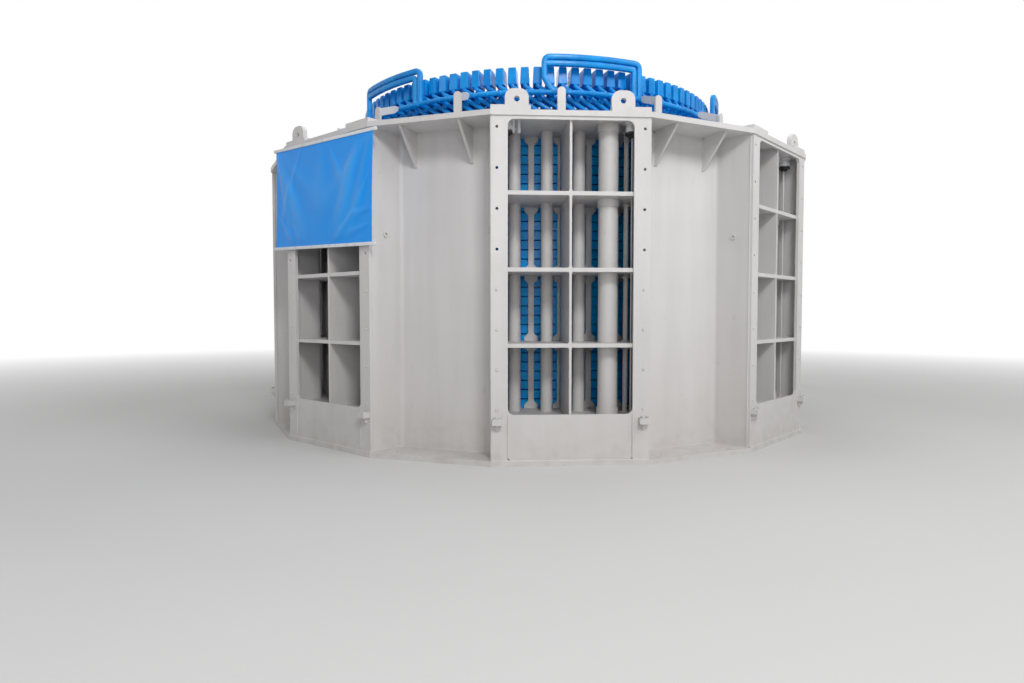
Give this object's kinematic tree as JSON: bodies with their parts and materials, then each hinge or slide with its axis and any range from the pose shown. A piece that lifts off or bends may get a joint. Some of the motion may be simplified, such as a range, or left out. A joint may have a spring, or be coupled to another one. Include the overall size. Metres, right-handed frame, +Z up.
{
  "type": "hydroelectric generator stator",
  "caption": "Sixteen-sided welded stator frame with cooler windows and recessed panels round a slotted core with blue winding, open bore and lifting lugs.",
  "frame": {"origin": "centre of the bottom ring plate's lower face, on the bore's axis", "axes": "+Z up along the bore's axis; the front cooler window faces -Y, with +X to its right"},
  "size_m": [5.6, 5.6, 3.3],
  "materials": {
    "frame_paint": "semi-gloss",
    "winding_enamel": "gloss",
    "core_enamel": "gloss",
    "dark_steel": "satin",
    "banner_vinyl": "satin",
    "batten_white": "matte"
  },
  "bodies": {
    "root": {"bottom_plate_front": "frame_paint", "bottom_plate_back": "frame_paint", "top_plate": "frame_paint", "shelf_1": "frame_paint", "shelf_2": "frame_paint", "shelf_3": "frame_paint", "shelf_4": "frame_paint", "window_frame_1": "frame_paint", "window_frame_2": "frame_paint", "window_frame_3": "frame_paint", "window_frame_4": "frame_paint", "window_frame_5": "frame_paint", "window_frame_6": "frame_paint", "window_frame_7": "frame_paint", "window_frame_8": "frame_paint", "recessed_panel_1": "frame_paint", "recessed_panel_2": "frame_paint", "recessed_panel_3": "frame_paint", "recessed_panel_4": "frame_paint", "recessed_panel_5": "frame_paint", "recessed_panel_6": "frame_paint", "recessed_panel_7": "frame_paint", "recessed_panel_8": "frame_paint", "closing_plates": "frame_paint", "window_ribs": "frame_paint", "base_ribs": "frame_paint", "top_gussets": "frame_paint", "earthing_bosses": "frame_paint", "corner_pads": "frame_paint", "lifting_lugs": "frame_paint", "cooler_supports": "frame_paint", "water_pipes": "frame_paint", "key_bars": "frame_paint", "tie_rod_sleeves": "frame_paint", "tie_rod_ends": "dark_steel", "core_sector_1": "core_enamel", "core_sector_2": "core_enamel", "core_sector_3": "core_enamel", "core_sector_4": "core_enamel", "core_clamp_ring": "winding_enamel", "slot_bars": "winding_enamel", "top_outer_end_bars": "winding_enamel", "top_inner_end_bars": "winding_enamel", "top_coil_caps": "winding_enamel", "low_outer_end_bars": "winding_enamel", "low_inner_end_bars": "winding_enamel", "low_coil_caps": "winding_enamel", "support_ring": "winding_enamel", "ring_brackets": "frame_paint", "bus_front": "winding_enamel", "bus_left": "winding_enamel", "bus_right": "winding_enamel", "banner": "banner_vinyl", "banner_battens": "batten_white"}
  },
  "joints": []
}
